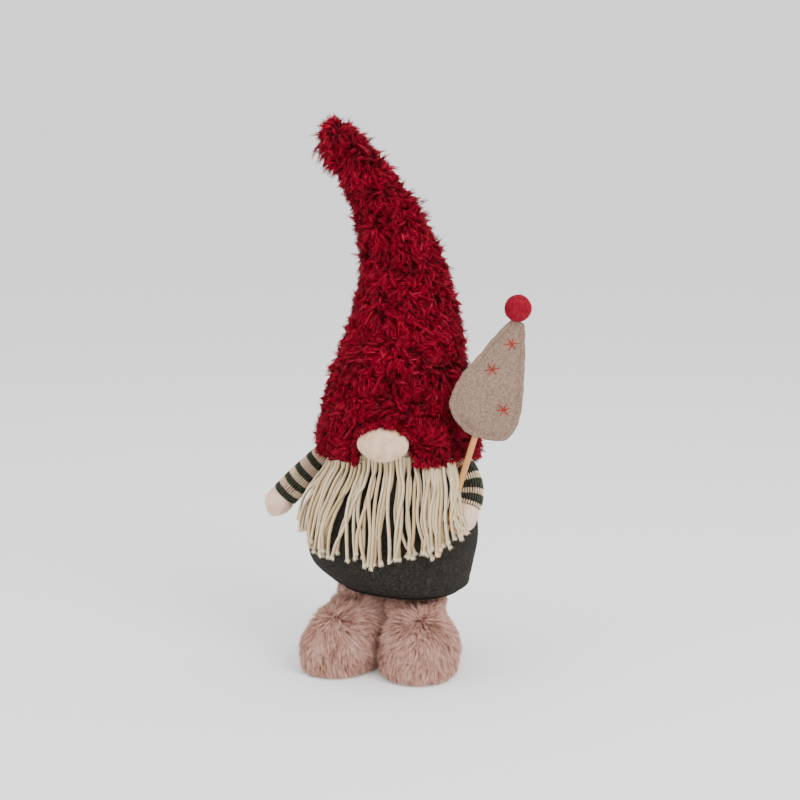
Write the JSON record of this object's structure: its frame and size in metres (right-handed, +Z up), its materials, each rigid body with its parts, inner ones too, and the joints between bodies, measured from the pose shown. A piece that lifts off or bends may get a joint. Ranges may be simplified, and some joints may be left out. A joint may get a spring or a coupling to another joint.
{
  "type": "gnome figurine",
  "caption": "Standing gnome figurine in felt, plush and knit, with a tall bendable hat, a cord beard, fur boots and a felt tree on a stick in one hand",
  "frame": {"origin": "bottom centre of the bounding box, on the surface the boots stand on", "axes": "+Z up, the gnome faces -Y, +X is its left-hand side, where it holds the tree"},
  "size_m": [0.2408, 0.1632, 0.4751],
  "materials": {
    "charcoal_felt": "matte",
    "crimson_plush": "matte",
    "velour": "matte",
    "cotton_cord": "matte",
    "cotton_tape": "matte",
    "pink_fur": "matte",
    "knit": "matte",
    "fleece": "matte",
    "filling": "matte",
    "pellets": "matte",
    "sole_felt": "matte",
    "steel_wire": "satin",
    "beige_felt": "matte",
    "red_thread": "matte",
    "beige_thread": "matte",
    "red_felt": "matte",
    "birch": "satin"
  },
  "bodies": {
    "root": {"body_side_felt": "charcoal_felt", "body_base_felt": "charcoal_felt", "body_stuffing": "filling", "body_pellet_bag": "pellets", "hat_lower_plush": "crimson_plush", "hat_lower_stuffing": "filling", "hat_wire_lower": "steel_wire", "nose_cover": "velour", "nose_filling": "filling", "beard_header_tape": "cotton_tape", "beard_fringe": "cotton_cord", "left_boot_upper": "pink_fur", "left_boot_sole": "sole_felt", "left_boot_stuffing": "filling", "left_boot_ballast": "pellets", "left_leg_fur": "pink_fur", "left_leg_stuffing": "filling", "right_boot_upper": "pink_fur", "right_boot_sole": "sole_felt", "right_boot_stuffing": "filling", "right_boot_ballast": "pellets", "right_leg_fur": "pink_fur", "right_leg_stuffing": "filling"},
    "hat_mid": {"hat_middle_plush": "crimson_plush", "hat_middle_stuffing": "filling", "hat_wire_middle": "steel_wire"},
    "hat_tip": {"hat_tip_plush": "crimson_plush", "hat_tip_stuffing": "filling", "hat_wire_tip": "steel_wire"},
    "right_arm": {"right_sleeve": "knit", "right_hand": "fleece", "right_arm_stuffing": "filling"},
    "left_arm": {"left_sleeve": "knit", "left_hand": "fleece", "left_arm_stuffing": "filling", "hand_tie_thread": "beige_thread"},
    "stick": {"tree_stick": "birch"},
    "tree": {"tree_front_felt": "beige_felt", "tree_back_felt": "beige_felt", "tree_padding": "filling", "tree_pompom": "red_felt", "tree_edge_stitch": "beige_thread", "star_stitch_upper": "red_thread", "star_stitch_middle": "red_thread", "star_stitch_lower": "red_thread"}
  },
  "joints": [
    {"name": "hat_mid_bend", "type": "hinge", "parent": "root", "child": "hat_mid", "pos_m": [0.0065, 0.01093, 0.3], "axis": [0, 1, 0], "range_deg": [-20, 20]},
    {"name": "hat_tip_bend", "type": "hinge", "parent": "hat_mid", "child": "hat_tip", "pos_m": [-0.00651, 0.01093, 0.385], "axis": [0, 1, 0], "range_deg": [-30, 30]},
    {"name": "right_arm_lift", "type": "hinge", "parent": "root", "child": "right_arm", "pos_m": [-0.0799, 0.00493, 0.1686], "axis": [0, 1, 0], "range_deg": [-15, 35]},
    {"name": "left_arm_swing", "type": "hinge", "parent": "root", "child": "left_arm", "pos_m": [0.0695, -0.02067, 0.1705], "axis": [0, 0, 1], "range_deg": [0, 30]},
    {"name": "stick_slide", "type": "slide", "parent": "left_arm", "child": "stick", "axis": [0.2768, 0.1125, 0.9543], "range_m": [-0.02, 0.02]},
    {"name": "tree_turn", "type": "hinge", "parent": "stick", "child": "tree", "pos_m": [0.07788, -0.0373, 0.21252], "axis": [0.2768, 0.1125, 0.9543], "range_deg": [-15, 90]}
  ]
}
